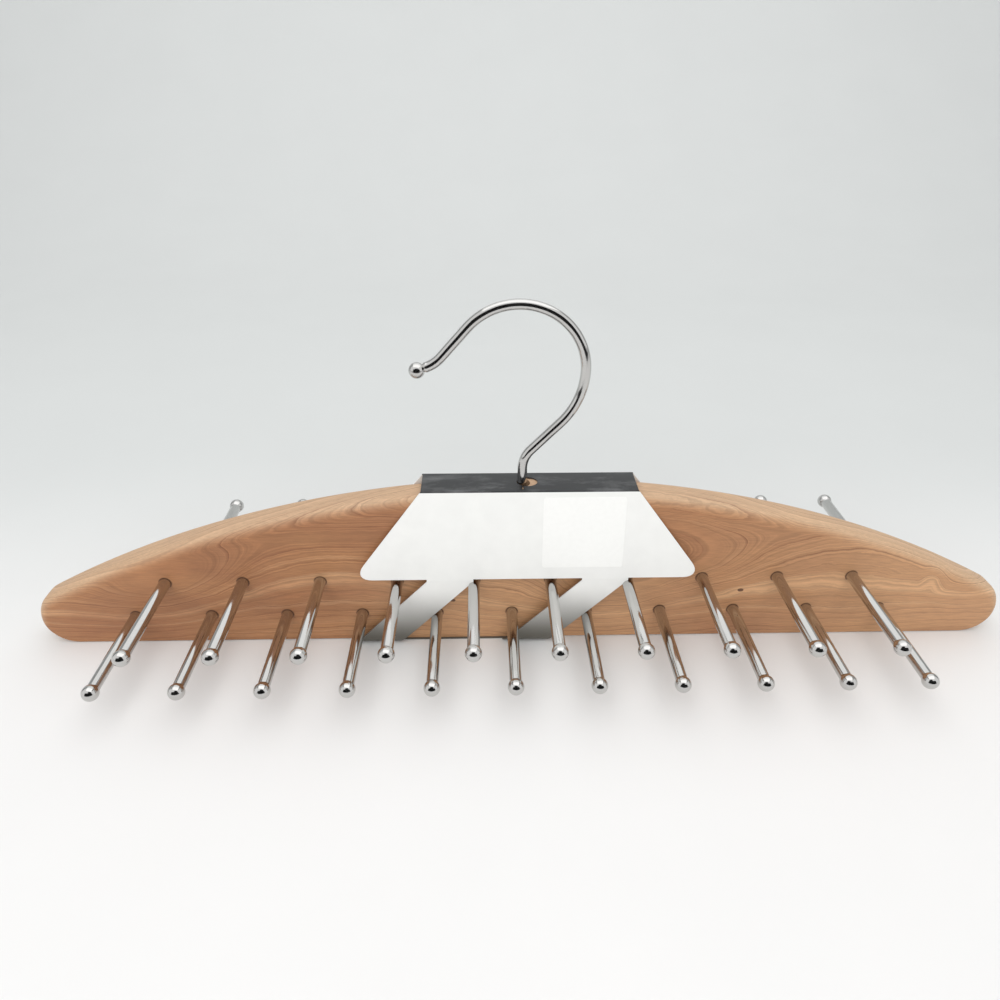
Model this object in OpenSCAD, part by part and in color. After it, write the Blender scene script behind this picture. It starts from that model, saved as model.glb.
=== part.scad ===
// Wooden tie hanger with a swivelling wire hook, two rows of ball-ended pegs on each side and a folded card sleeve.
// X runs along the body, the front faces -Y and Z points up. It stands on the underside of the card sleeve.

/* [Wooden body] */
// Length of the body from end to end
body_length = 456; // [430:1:490]
// Thickness of the body from front to back
body_thickness = 17.5; // [16.5:0.5:22]
// Height of the body at the middle of its arch
body_height = 80.5; // [76:0.5:90]
// Radius of each end's nose
nose_radius = 13; // [12:0.5:16]
// Radius rounded onto the arch and the ends, front and back
edge_radius = 6; // [4:0.5:6]
// Radius of the cutter's guide, where the rounding runs out onto the underside
runout_radius = 6; // [3:0.5:10]

/* [Pegs] */
// Distance between neighbouring pegs of a row
peg_pitch = 35; // [30:0.5:37]
// Pegs in the upper row of each side; the lower row has one more
upper_count = 10; // [6:1:10]
// Height of the upper row above the body's underside
upper_row_height = 34.5; // [32:0.5:37]
// Height of the lower row above the body's underside
lower_row_height = 15.5; // [12:0.5:18]
// How far each side's pegs are set towards that side's left, so that front and back bores pass each other
pattern_shift = 7; // [6:0.5:9]
// Diameter of a peg's stem
peg_d = 5.2; // [4:0.1:6]
// Diameter of the ball on a peg's end
peg_ball_d = 7; // [6.4:0.1:9]
// Distance from the face of the body to the middle of the ball
peg_reach = 48.3; // [35:0.1:60]
// How deep a peg is driven into the body
peg_seat_depth = 12; // [8:0.5:13]
// Bevel on the driven end of a peg
peg_bevel = 0.6; // [0.2:0.1:1.2]
// Gap all round between a peg and its bore, and below its driven end
peg_play = 0.02; // [0.01:0.01:0.05]

/* [Hook] */
// Diameter of the hook's wire
wire_d = 4.2; // [3.5:0.1:4.6]
// Place of the swivel along the body, from its middle
hook_offset = -3; // [-4:0.5:4]
// Radius of the wire's centre line round the loop
loop_radius = 27; // [24:0.5:30]
// Radius of the wire's centre line below the loop's right-hand side
waist_radius = 33; // [31:0.5:38]
// Distance from the swivel axis to the loop's right-hand side
loop_reach = 24.5; // [22:0.5:28]
// Height of the loop's centre above the body's top
loop_rise = 51.6; // [49:0.1:60]
// Slope of the straight stretch below the loop, in degrees from level
slope_angle = 46.5; // [42:0.5:52]
// Radius of the bend from the shank into the slope
shank_bend_radius = 12.5; // [9:0.5:14]
// Slope of the straight stretch after the loop, in degrees below level
tail_angle = 48.5; // [40:0.5:56]
// Length of the straight stretch after the loop
tail_length = 16; // [10:0.5:20]
// Radius of the bend that lifts the tip
tail_bend_radius = 14.8; // [10:0.1:18]
// Slope of the tip, in degrees below level
tip_angle = 19; // [5:1:30]
// Length of wire between the last bend and the middle of the ball
tip_length = 3.7; // [3.7:0.1:8]
// Diameter of the ball on the tip
tip_ball_d = 6.6; // [5.4:0.1:9]

/* [Swivel] */
// Outer diameter of the sleeve that the hook turns in
sleeve_d = 7; // [6.5:0.1:9]
// Length of the sleeve
sleeve_length = 16; // [10:0.5:24]
// How far the sleeve lies below the body's top
sleeve_recess = 3; // [1:0.5:6]
// Gap all round between the wire and the sleeve
swivel_play = 0.08; // [0.02:0.01:0.1]
// Diameter of the head that keeps the hook from pulling out
head_d = 6.2; // [5.6:0.1:6.3]
// Thickness of that head
head_thickness = 2; // [1:0.1:4]
// Gap between the head and the sleeve's lower end
head_gap = 0.2; // [0.1:0.05:0.5]
// Room below the head
head_room = 1.5; // [0.5:0.1:4]
// Gap all round between the sleeve and its bore
sleeve_play = 0.02; // [0.01:0.01:0.05]

/* [Card sleeve] */
// Thickness of the card
card_t = 0.5; // [0.3:0.05:0.8]
// Width of the card across the top
card_top_width = 93.4; // [80:0.1:110]
// How much wider each side of the panel is at its lower edge
card_flare = 32.3; // [20:0.1:40]
// Radius of the panel's lower corners
card_corner_radius = 4.5; // [2:0.5:8]
// Gap between the body's face and the fold at the card's top
card_fold_gap = 0.4; // [0.3:0.05:1.5]
// Gap between the body's top and the card above it
card_top_gap = 0.1; // [0.05:0.05:0.5]
// Gap between the body's face and the lower edge of the panel
card_standoff = 4.6; // [3:0.1:6]
// Gap between the body's face and the foot of a leg
card_foot_gap = 2.8; // [2:0.1:4]
// Outer radius of the bend at the foot of a leg
card_foot_radius = 3; // [2:0.1:4]
// Gap between the panel's lower edge and the pegs under it
card_panel_gap = 1.5; // [0.4:0.1:3]
// Width of a leg, square to its edges
leg_width = 15.4; // [10:0.1:17]
// Gap between a leg's edge and the pegs that it lies along
leg_peg_gap = 0.35; // [0.3:0.05:1]
// Radius in the corners between legs and panel
leg_corner_radius = 1.4; // [0.5:0.1:3]
// Height of the turned-up lip between the feet
lip_height = 0.9; // [0.9:0.1:2]
// Gap between the front and back flaps under the body
flap_gap = 0.6; // [0.4:0.1:4]
// Diameter of the hole for the hook
card_hole_d = 7.8; // [7:0.1:10]
// Least gap between the wire and the edge of that hole
card_hole_play = 0.4; // [0.3:0.1:1]

/* [Price label] */
// Width of the blank label
label_width = 36; // [20:1:40]
// Height of the blank label
label_height = 34; // [20:1:36]
// Thickness of the blank label
label_t = 0.15; // [0.1:0.05:0.3]
// Place of the label's middle along the card
label_x = 24; // [20:1:26]
// Distance from the card's fold to the label's upper edge
label_drop = 3; // [1:0.5:5]
// Radius of the label's corners
label_corner_radius = 1.5; // [0.5:0.5:3]

/* [Hidden] */
$fn = 96;
FRONT = -1;
BACK = 1;
lower_count = upper_count + 1;

// Two digits, so that names sort in order
function two_digits(i) = i < 10 ? str("0", i) : str(i);
function peg_name(row, i) = str("peg_", row, "_", two_digits(i));
function row_names(row, count) = [for (i = [1:count]) peg_name(row, i)];

function unit(v) = v / norm(v);

// Heights above the surface that the hanger stands on
body_z = card_t;
body_top_z = body_z + body_height;
upper_row_z = body_z + upper_row_height;
lower_row_z = body_z + lower_row_height;
half_thickness = body_thickness / 2;

// The nose circles touch the underside and, from inside, the arch. The arch radius is rounded to a
// hundredth, and the nose's place follows from it, so that the two meet smoothly.
nose_drop = body_height - nose_radius;
ideal_nose_x = body_length / 2 - nose_radius;
ideal_arch_radius = (ideal_nose_x ^ 2 + nose_drop ^ 2 - nose_radius ^ 2) / (2 * (nose_drop - nose_radius));
arch_radius = round(100 * ideal_arch_radius) / 100;
arch_z = body_height - arch_radius;
nose_x = sqrt((arch_radius - nose_radius) ^ 2 - (nose_radius - arch_z) ^ 2);
nose_centre = [nose_x, nose_radius];
arch_band = 2 * edge_radius;
core_inset = 1.5 * edge_radius;
cutter_overrun = 1;
// A point outside the body, in line with the arch's centre and the nose's
seam_end = nose_centre + 2 * nose_radius * unit(nose_centre - [0, arch_z]);

// Height of the body's top above its underside at a place along it
function arch_height(x) = arch_z + sqrt(arch_radius ^ 2 - x ^ 2);

// Place of a peg along the body
function peg_x(side, count, i) = side * pattern_shift + (i - (count + 1) / 2) * peg_pitch;

// Swivel, from the body's top down
swivel_top_z = body_z + arch_height(hook_offset);
sleeve_top_z = swivel_top_z - sleeve_recess;
sleeve_foot_z = sleeve_top_z - sleeve_length;
head_top_z = sleeve_foot_z - head_gap;
head_foot_z = head_top_z - head_thickness;
swivel_bore_foot_z = head_foot_z - head_room;
sleeve_bore_d = sleeve_d + 2 * sleeve_play;

joint_swell = 0.06;

// Card sleeve, seen from the end: fold, knee at the panel's lower edge, foot
card_top_z = body_top_z + card_top_gap + card_t;
fold_y = half_thickness + card_fold_gap;
panel_z = upper_row_z + peg_d / 2 + card_panel_gap;
knee_y = half_thickness + card_standoff + card_t;
foot_y = half_thickness + card_foot_gap + card_t;
foot_centre_y = foot_y - card_foot_radius;
card_lean = atan2(knee_y - fold_y, card_top_z - panel_z);
foot_steps = 8;
prism_overrun = 2;

// Card legs lie along the slanting lines of pegs
leg_shift_per_height = (peg_pitch / 2) / (upper_row_height - lower_row_height);
leg_stretch = sqrt(1 + leg_shift_per_height ^ 2);
first_leg_peg = floor(upper_count / 2);
leg_pegs = [first_leg_peg, first_leg_peg + 2];
function leg_right_x(peg, z) = peg_x(FRONT, upper_count, peg) + (z - upper_row_z) * leg_shift_per_height
    - (peg_d / 2 + leg_peg_gap) * leg_stretch;
function leg_left_x(peg, z) = leg_right_x(peg, z) - leg_width * leg_stretch;

// Points that round the corner at p, between the sides that come from a and go to b
function rounded_corner(a, p, b, r, steps = 8) =
    let (
        u = unit(a - p),
        v = unit(b - p),
        half = acos(u * v) / 2,
        c = p + unit(u + v) * r / sin(half),
        first = p + u * r / tan(half) - c,
        start = atan2(first.y, first.x),
        sweep = (180 - 2 * half) * sign(cross(v, u))
    )
    [for (k = [0:steps]) c + r * [cos(start + sweep * k / steps), sin(start + sweep * k / steps)]];

// Points of a closed outline whose corners are each given as [x, y, radius]
function rounded_outline(corners) =
    let (n = len(corners))
    [for (k = [0:n - 1])
        let (
            a = corners[(k + n - 1) % n],
            p = corners[k],
            b = corners[(k + 1) % n]
        )
        each p.z > 0 ? rounded_corner([a.x, a.y], [p.x, p.y], [b.x, b.y], p.z) : [[p.x, p.y]]];

// An open line moved sideways to its left by a distance, with mitred corners
function left_of(a, b) = let (u = unit(b - a)) [-u.y, u.x];
function moved_line(line, distance) =
    let (last = len(line) - 1)
    [for (k = [0:last])
        let (
            before = k == 0 ? left_of(line[0], line[1]) : left_of(line[k - 1], line[k]),
            after = k == last ? before : left_of(line[k], line[k + 1])
        )
        line[k] + distance * (before + after) / (1 + before * after)];

// Turns a flat drawing of X and Z upright and centres its thickness on Y
module upright(thickness) {
    translate([0, thickness / 2, 0]) {
        rotate([90, 0, 0]) {
            linear_extrude(thickness) children();
        }
    }
}

// Half section of a disc's rim: full thickness inside, rounded at its outer corners
module rim_section(inner, outer) {
    straight_half = half_thickness - edge_radius;
    translate([inner, -half_thickness]) square([outer - edge_radius - inner, body_thickness]);
    translate([outer - 2 * edge_radius, -straight_half]) square([2 * edge_radius, 2 * straight_half]);
    for (side = [-1, 1]) {
        translate([outer - edge_radius, side * straight_half]) circle(r = edge_radius);
    }
}

// Ring or disc with a rounded rim, whose axis runs along Y at a height
module rim_disc(height, inner, outer) {
    translate([0, 0, height]) {
        rotate([90, 0, 0]) {
            rotate_extrude() rim_section(inner, outer);
        }
    }
}

// Moves along X in two steps, thousandths last, which keeps every digit of the distance
module shift_x(distance) {
    coarse = round(10 * distance) / 10;
    translate([coarse, 0, 0]) {
        translate([distance - coarse, 0, 0]) children();
    }
}

// Right-hand half of the rounded rim: the arch as far as its seam with the nose, then the nose
module half_rim() {
    far = [body_length, -body_height];
    intersection() {
        rim_disc(arch_z, arch_radius - arch_band, arch_radius);
        upright(2 * body_thickness) {
            polygon([[0, 0], [nose_x, 0], nose_centre, seam_end, [0, 2 * body_height]]);
        }
    }
    intersection() {
        shift_x(nose_x) rim_disc(nose_radius, 0, nose_radius);
        upright(2 * body_thickness) {
            polygon([[nose_x, far.y], far, [far.x, seam_end.y], seam_end, nose_centre]);
        }
    }
}

// Right-hand half of the flat core, square along the underside
module half_core() {
    upright(body_thickness) {
        intersection() {
            translate([0, arch_z]) circle(r = arch_radius - core_inset, $fn = 4 * $fn);
            polygon([[0, 0], [nose_x, 0], nose_centre, seam_end, [0, 2 * body_height]]);
        }
    }
}

// What the rounding cutter takes off the underside where it leaves the nose
module runout_cut(side) {
    straight_half = half_thickness - edge_radius;
    translate([nose_x, 0, -runout_radius]) {
        rotate([-90 * side, 0, 0]) {
            rotate_extrude() {
                difference() {
                    translate([0, straight_half]) {
                        square([runout_radius + edge_radius, edge_radius + cutter_overrun]);
                    }
                    translate([runout_radius + edge_radius, straight_half]) circle(r = edge_radius);
                }
            }
        }
    }
}

module half_body() {
    difference() {
        half_core();
        for (side = [FRONT, BACK]) runout_cut(side);
    }
    half_rim();
}

module peg_bore(side, count, i, z) {
    translate([peg_x(side, count, i), side * half_thickness, z]) {
        rotate([-90 * side, 0, 0]) {
            translate([0, 0, -peg_seat_depth - peg_play]) {
                cylinder(d = peg_d + 2 * peg_play, h = peg_seat_depth + peg_play + cutter_overrun);
            }
        }
    }
}

module body() {
    color("#b5835a") {
        difference() {
            translate([0, 0, body_z]) {
                half_body();
                mirror([1, 0, 0]) half_body();
            }
            for (side = [FRONT, BACK]) {
                for (i = [1:upper_count]) peg_bore(side, upper_count, i, upper_row_z);
                for (i = [1:lower_count]) peg_bore(side, lower_count, i, lower_row_z);
            }
            translate([hook_offset, 0, swivel_bore_foot_z]) {
                cylinder(d = sleeve_bore_d, h = swivel_top_z - swivel_bore_foot_z + cutter_overrun);
            }
        }
    }
}

// One peg, with its axis on Z, the body's face at 0 and its ball above
module peg() {
    color("gainsboro") {
        rotate_extrude() {
            intersection() {
                union() {
                    translate([0, -peg_seat_depth + peg_bevel]) {
                        square([peg_d / 2, peg_seat_depth - peg_bevel + peg_reach]);
                    }
                    polygon([
                        [0, -peg_seat_depth], [peg_d / 2 - peg_bevel, -peg_seat_depth],
                        [peg_d / 2, -peg_seat_depth + peg_bevel], [0, -peg_seat_depth + peg_bevel]
                    ]);
                    translate([0, peg_reach]) circle(d = peg_ball_d);
                }
                translate([0, -peg_seat_depth]) {
                    square([peg_ball_d, peg_seat_depth + peg_reach + peg_ball_d]);
                }
            }
        }
    }
}

module placed_peg(side, count, i, z) {
    translate([peg_x(side, count, i), side * half_thickness, z]) {
        rotate([-90 * side, 0, 0]) peg();
    }
}

// Ball a hair thicker than the wire that joins one stretch to the next
module wire_joint() {
    sphere(d = wire_d + joint_swell);
}

// Straight stretch of wire along Z, with what follows at its end
module wire_run(length) {
    cylinder(d = wire_d, h = length);
    translate([0, 0, length]) {
        wire_joint();
        children();
    }
}

// Bend of wire that leaves Z for X, or for -X on the other side, with what follows at its end
module wire_bend(side, radius, turn) {
    swing = side > 0 ? 0 : 180;
    rotate([0, 0, swing]) {
        translate([radius, 0, 0]) {
            rotate([-90, 0, 0]) {
                rotate([0, 0, 180]) {
                    rotate_extrude(angle = turn) {
                        translate([radius, 0]) circle(d = wire_d);
                    }
                }
            }
            rotate([0, turn, 0]) {
                translate([-radius, 0, 0]) {
                    wire_joint();
                    rotate([0, 0, swing]) children();
                }
            }
        }
    }
}

module hook() {
    rise_turn = 90 - slope_angle;
    // The shank and the slope are as long as it takes for the waist to end level with the loop's centre
    bend_side = shank_bend_radius * (1 - cos(rise_turn));
    waist_side = waist_radius * (1 - cos(rise_turn));
    slope_length = (loop_reach - bend_side - waist_side) / cos(slope_angle);
    slope_rise = slope_length * sin(slope_angle);
    bends_rise = (shank_bend_radius + waist_radius) * sin(rise_turn);
    shank_length = body_top_z + loop_rise - bends_rise - slope_rise - head_top_z;
    color("silver") {
        translate([hook_offset, 0, head_foot_z]) {
            cylinder(d = head_d, h = head_thickness);
            translate([0, 0, head_thickness]) {
                wire_run(shank_length)
                wire_bend(1, shank_bend_radius, rise_turn)
                wire_run(slope_length)
                wire_bend(-1, waist_radius, rise_turn)
                wire_bend(-1, loop_radius, 90 + tail_angle)
                wire_run(tail_length)
                wire_bend(1, tail_bend_radius, tail_angle - tip_angle)
                wire_run(tip_length)
                sphere(d = tip_ball_d);
            }
        }
    }
}

module hook_sleeve() {
    color("darkgray") {
        translate([hook_offset, 0, sleeve_foot_z]) {
            difference() {
                cylinder(d = sleeve_d, h = sleeve_length);
                translate([0, 0, -cutter_overrun]) {
                    cylinder(d = wire_d + 2 * swivel_play, h = sleeve_length + 2 * cutter_overrun);
                }
            }
        }
    }
}

// Section of the front half of the card, drawn as Y and Z, from its top down and under the body
module card_section() {
    foot_arc = [for (k = [0:foot_steps])
        let (turn = 90 * k / foot_steps)
        [-foot_centre_y, card_foot_radius] - card_foot_radius * [cos(turn), sin(turn)]];
    outer = concat([[0, card_top_z], [-fold_y, card_top_z], [-knee_y, panel_z]], foot_arc, [[-flap_gap / 2, 0]]);
    inner = moved_line(outer, card_t);
    polygon(concat(outer, [for (k = [len(inner) - 1:-1:0]) inner[k]]));
}

// Front outline of the card's panel, legs and flap, drawn as X and Z
module card_outline() {
    top_half = card_top_width / 2;
    low_half = top_half + card_flare;
    top = card_top_z + prism_overrun;
    low = -prism_overrun;
    first = leg_pegs[0];
    second = leg_pegs[1];
    difference() {
        polygon(rounded_outline([
            [leg_left_x(first, low), low, 0],
            [leg_right_x(second, low), low, 0],
            [leg_right_x(second, panel_z), panel_z, leg_corner_radius],
            [low_half, panel_z, card_corner_radius],
            [top_half, card_top_z, 0],
            [top_half, top, 0],
            [-top_half, top, 0],
            [-top_half, card_top_z, 0],
            [-low_half, panel_z, card_corner_radius],
            [leg_left_x(first, panel_z), panel_z, leg_corner_radius]
        ]));
        polygon(rounded_outline([
            [leg_right_x(first, lip_height), lip_height, 0],
            [leg_left_x(second, lip_height), lip_height, 0],
            [leg_left_x(second, panel_z), panel_z, leg_corner_radius],
            [leg_right_x(first, panel_z), panel_z, leg_corner_radius]
        ]));
    }
}

module card_side() {
    low_half = card_top_width / 2 + card_flare;
    intersection() {
        translate([-low_half, 0, 0]) {
            rotate([90, 0, 90]) {
                linear_extrude(2 * low_half) card_section();
            }
        }
        rotate([90, 0, 0]) {
            linear_extrude(knee_y + prism_overrun) card_outline();
        }
    }
}

// Hole for the hook, drawn out towards the shank so that the wire stands clear of its edge
module card_hole() {
    slack = card_hole_d / 2 - wire_d / 2 - card_hole_play;
    left = min(0, hook_offset + slack);
    right = max(0, hook_offset - slack);
    translate([0, 0, body_top_z]) {
        for (x = [left, right]) {
            translate([x, 0, 0]) cylinder(d = card_hole_d, h = 2 * card_t + cutter_overrun);
        }
        translate([left, -card_hole_d / 2, 0]) {
            cube([right - left, card_hole_d, 2 * card_t + cutter_overrun]);
        }
    }
}

module card_sleeve() {
    color("white") {
        difference() {
            union() {
                card_side();
                rotate([0, 0, 180]) card_side();
            }
            card_hole();
        }
    }
}

module price_label() {
    half = label_width / 2;
    color("whitesmoke") {
        translate([label_x, -fold_y, card_top_z]) {
            rotate([90 - card_lean, 0, 0]) {
                linear_extrude(label_t) {
                    polygon(rounded_outline([
                        [-half, -label_drop - label_height, label_corner_radius],
                        [half, -label_drop - label_height, label_corner_radius],
                        [half, -label_drop, label_corner_radius],
                        [-half, -label_drop, label_corner_radius]
                    ]));
                }
            }
        }
    }
}

body();
hook();
hook_sleeve();
card_sleeve();
price_label();
for (i = [1:upper_count]) {
    placed_peg(FRONT, upper_count, i, upper_row_z);
    placed_peg(BACK, upper_count, i, upper_row_z);
}
for (i = [1:lower_count]) {
    placed_peg(FRONT, lower_count, i, lower_row_z);
    placed_peg(BACK, lower_count, i, lower_row_z);
}
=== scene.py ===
"""Looks of a wooden tie hanger: cedar, chrome and card over the solid parts, in the same frame and in metres."""
import math

import bmesh
import bpy
from mathutils import Matrix, Vector


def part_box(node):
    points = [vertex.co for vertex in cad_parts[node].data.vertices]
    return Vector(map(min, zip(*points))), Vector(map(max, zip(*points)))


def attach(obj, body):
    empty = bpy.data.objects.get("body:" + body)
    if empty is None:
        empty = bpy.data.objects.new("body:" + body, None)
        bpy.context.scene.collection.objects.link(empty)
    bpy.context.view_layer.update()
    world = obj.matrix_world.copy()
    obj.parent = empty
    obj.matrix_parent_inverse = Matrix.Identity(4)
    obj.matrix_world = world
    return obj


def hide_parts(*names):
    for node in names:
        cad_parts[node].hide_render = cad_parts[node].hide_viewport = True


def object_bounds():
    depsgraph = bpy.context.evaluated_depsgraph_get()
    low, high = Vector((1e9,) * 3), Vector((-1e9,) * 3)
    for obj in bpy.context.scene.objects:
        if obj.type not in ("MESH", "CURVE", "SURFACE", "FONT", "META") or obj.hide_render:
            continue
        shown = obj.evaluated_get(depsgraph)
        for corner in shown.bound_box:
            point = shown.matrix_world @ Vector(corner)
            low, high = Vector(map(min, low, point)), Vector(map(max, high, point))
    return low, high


bl_info = {
    "name": "Tie hanger",
    "version": (1, 0, 0),
    "blender": (4, 5, 0),
    "location": "3D View > Sidebar > Tie hanger",
    "description": "Builds the looks of a wooden tie hanger with chrome pegs, hook and card sleeve",
    "category": "Object",
}

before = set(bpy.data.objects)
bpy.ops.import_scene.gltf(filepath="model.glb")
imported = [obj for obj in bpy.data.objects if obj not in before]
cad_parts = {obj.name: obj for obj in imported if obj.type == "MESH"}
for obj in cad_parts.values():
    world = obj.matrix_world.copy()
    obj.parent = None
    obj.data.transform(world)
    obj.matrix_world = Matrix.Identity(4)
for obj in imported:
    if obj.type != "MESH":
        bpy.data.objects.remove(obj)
CAD_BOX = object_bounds()
MM = 0.001

# How near a point lies to the place that it is picked by, and how near two points are that become one
NEAR = 0.1 * MM
WELD = 0.01 * MM
# Angles up to which neighbouring faces are shaded as one round surface: on wood, on card and paper, and elsewhere
WOOD_ROUND, PAPER_ROUND, ROUND = math.radians(30), math.radians(35), math.radians(40)
# Rings on a ball, and the half angle of the little flat on its end, in radians
BALL_STEPS = 16
BALL_FLAT = 0.06
# Size, in metres, of a mark in the wood that goes right through the board
THROUGH = 1.0
# Inputs of a colour mix
FIRST, SECOND = 6, 7

# Photograph's camera, fitted to the object: focal length in pixels of a 1000 pixel wide picture
PICTURE_PX = 1000
FOCAL_PX = 734.9
SENSOR_WIDTH = 36.0

# Grain of the board, in millimetres: hills in the level of its rings (X, Z, half width, half height, rise)
GRAIN_HILLS = (
    (-85, 52, 78, 46, 11.0),
    (-196, 31, 74, 40, -14.0),
    (-150, 46, 50, 30, -5.0),
    (14, 24, 72, 40, -11.0),
    (150, 62, 72, 50, 16.0),
    (207, 34, 22, 24, -6.5),
    (191, 33, 9, 12, 4.0),
    (100, 27, 12, 5, 1.6),
    (-34.5, 23, 10, 5, -1.4),
)
# Places where the line that the rings lie round comes nearer to the front face, in millimetres (X, half width,
# and how much nearer)
PITH_DIPS = (
    (52, 62, 9.5),
    (-165, 50, 5.0),
)
# Waves of the grain, in millimetres: lengths along X, Y and Z, and reach
GRAIN_WAVES = (
    ((90.91, 71.43, 50.0), 5.5),
    ((26.32, 20.0, 10.526), 1.7),
    ((6.25, 5.0, 3.8462), 0.5),
    ((1.6667, 1.25, 1.25), 0.17),
)
# Small knots in the front face, in millimetres (X, Z, radius), and their height over their width
KNOTS = ((100, 27.2, 1.7), (-34.5, 23.0, 1.5))
KNOT_HEIGHT = 0.62
# Darkness across one ring: it grows slowly through the summer and ends in a thin line
RING_PROFILE = (
    (0.0, "#606060"), (0.05, "#000000"), (0.6, "#202020"), (0.88, "#6a6a6a"), (0.96, "#dcdcdc"), (1.0, "#ffffff"))
# Wet and dry spells, pale streaks and fine lines in the width of one ring, and rings that the spells shift
SPELLS_PER_RING, STREAKS_PER_RING, FINE_LINES_PER_RING, SPELL_REACH = 0.45, 1.1, 6.5, 2.4


def srgb(code, alpha=1.0):
    """Linear colour of a hex code such as #b08050."""
    channels = []
    for start in (1, 3, 5):
        value = int(code[start:start + 2], 16) / 255
        linear = value / 12.92 if value <= 0.04045 else ((value + 0.055) / 1.055) ** 2.4
        channels.append(linear)
    return (*channels, alpha)


def pegs():
    """Names of the peg nodes."""
    return sorted(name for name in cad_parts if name.startswith("peg_"))


def start_piece(name):
    """Names the primitive just added and lays its place into its mesh, then opens it for editing."""
    bpy.ops.object.transform_apply(location=True, rotation=True, scale=True)
    piece = bpy.context.object
    piece.name = piece.data.name = name
    bpy.ops.object.mode_set(mode="EDIT")
    return piece


def pick(piece, kind, test):
    """In edit mode, selects only the points that pass a test, or only the edges whose two ends pass it."""
    bpy.ops.mesh.select_mode(type=kind)
    bpy.ops.mesh.select_all(action="DESELECT")
    shape = bmesh.from_edit_mesh(piece.data)
    for part in shape.edges if kind == "EDGE" else shape.verts:
        ends = part.verts if kind == "EDGE" else (part,)
        part.select_set(all(test(end.co) for end in ends))
    shape.select_flush_mode()
    if not any(point.select for point in shape.verts):
        raise RuntimeError(f"{piece.name} has nothing at a place where it is to be shaped")
    bmesh.update_edit_mesh(piece.data)


def stretch(factors, middle=(0, 0, 0), shift=(0, 0, 0)):
    """Resizes the whole of the open mesh about a point, and shifts it."""
    bpy.ops.mesh.select_all(action="SELECT")
    bpy.ops.transform.resize(value=factors, center_override=middle)
    bpy.ops.transform.translate(value=shift)


def face_outwards():
    """Turns all faces of the open mesh outwards."""
    bpy.ops.mesh.select_all(action="SELECT")
    bpy.ops.mesh.normals_make_consistent(inside=False)


def close_piece(piece):
    """Leaves edit mode with faces outwards and round parts smooth."""
    bpy.ops.mesh.select_all(action="SELECT")
    bpy.ops.mesh.remove_doubles(threshold=WELD)
    face_outwards()
    bpy.ops.object.mode_set(mode="OBJECT")
    bpy.ops.object.shade_smooth_by_angle(angle=ROUND)
    piece.select_set(False)


def apply_modifier(piece, modifier):
    """Applies a modifier to its piece."""
    bpy.context.view_layer.objects.active = piece
    bpy.ops.object.modifier_apply(modifier=modifier.name)


def subtract(piece, cutter):
    """Cuts one mesh out of another and removes the cutter."""
    faces = len(piece.data.polygons)
    cut = piece.modifiers.new("cut", "BOOLEAN")
    cut.operation = "DIFFERENCE"
    cut.solver = "EXACT"
    cut.object = cutter
    apply_modifier(piece, cut)
    if len(piece.data.polygons) <= faces:
        raise RuntimeError(f"{cutter.name} cuts nothing out of {piece.name}")
    bpy.data.objects.remove(cutter)
    bpy.ops.object.select_all(action="DESELECT")
    piece.select_set(True)


def grow(step, swell, centre):
    """Extrudes the selected end of a bar by a step and resizes it about its new centre."""
    bpy.ops.mesh.extrude_region_move(TRANSFORM_OT_translate={"value": step})
    if abs(swell - 1) > 1e-6:
        bpy.ops.transform.resize(value=(swell, swell, swell), center_override=centre)


def ball_profile(bar_radius, ball_radius):
    """Rings of a ball on a bar, as distance along the bar from the ball's centre and radius."""
    first = math.asin(bar_radius / ball_radius)
    last = math.pi - BALL_FLAT
    turns = [first + (last - first) * k / BALL_STEPS for k in range(BALL_STEPS + 1)]
    return [(-ball_radius * math.cos(turn), ball_radius * math.sin(turn)) for turn in turns]


# Settings that a user would change


def colour_setting(name, description, code):
    """A colour, with its default as a hex code."""
    return bpy.props.FloatVectorProperty(
        name=name, description=description, subtype="COLOR", size=4, min=0, max=1, default=srgb(code))


def length_setting(name, description, least, most, default):
    """A length, with its limits and default in millimetres."""
    return bpy.props.FloatProperty(
        name=name, description=description, unit="LENGTH", min=least * MM, max=most * MM, default=default * MM)


def angle_setting(name, description, default):
    """An angle, with its default in degrees."""
    return bpy.props.FloatProperty(
        name=name, description=description, subtype="ANGLE", default=math.radians(default))


class WoodSettings(bpy.types.PropertyGroup):
    """Colours, outline and growth rings of the wood."""

    early_wood: colour_setting("Early wood", "Colour between the growth rings", "#b58259")
    pale_wood: colour_setting("Pale streaks", "Colour of the palest streaks", "#d0a37a")
    late_wood: colour_setting("Late wood", "Colour of the thin dark lines", "#6f3f2a")
    red_wood: colour_setting("Red patches", "Colour of the broad redder patches", "#a06d4c")
    # Paler tone towards the right end, also used as painted light low down in the middle, where the card casts
    # shade
    pale_tone_and_painted_light: colour_setting("Pale zones", "Colour towards the right end and low down in the middle", "#cb9d74")
    # Painted highlight: the rim's pale colour stands in for the light and sheen that fall on it from above
    painted_rim_light: colour_setting("Rounded rim", "Colour of the sanded, rounded rim", "#dcbf9e")
    # The knots are the wood's own; the dark rims of the peg holes are partly torn wood and partly painted shade of
    # the gap round each peg
    knots_and_hole_shade: colour_setting("Knots", "Colour of the small knots and of the rims of the peg holes", "#4a2c1e")
    nose_radius: length_setting("Nose radius", "Radius of the outline at both ends", 5, 30, 12)
    chin_radius: length_setting("Chin radius", "Radius of the outline between a nose and the underside", 5, 30, 18)
    chin_turn: angle_setting("Chin turn", "Turn of the outline between the underside and a nose", 50)
    edge_radius: length_setting("Edge radius", "Radius of the rounded rim", 1, 8, 6)
    ring_spacing: length_setting("Ring spacing", "Distance between growth rings", 0.5, 20, 3.3)
    pith_level: length_setting("Pith level", "Height of the line that the rings lie round", 0, 80, 51)
    pith_depth: length_setting("Pith depth", "Distance from that line to the front face", 1, 80, 28)


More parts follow.
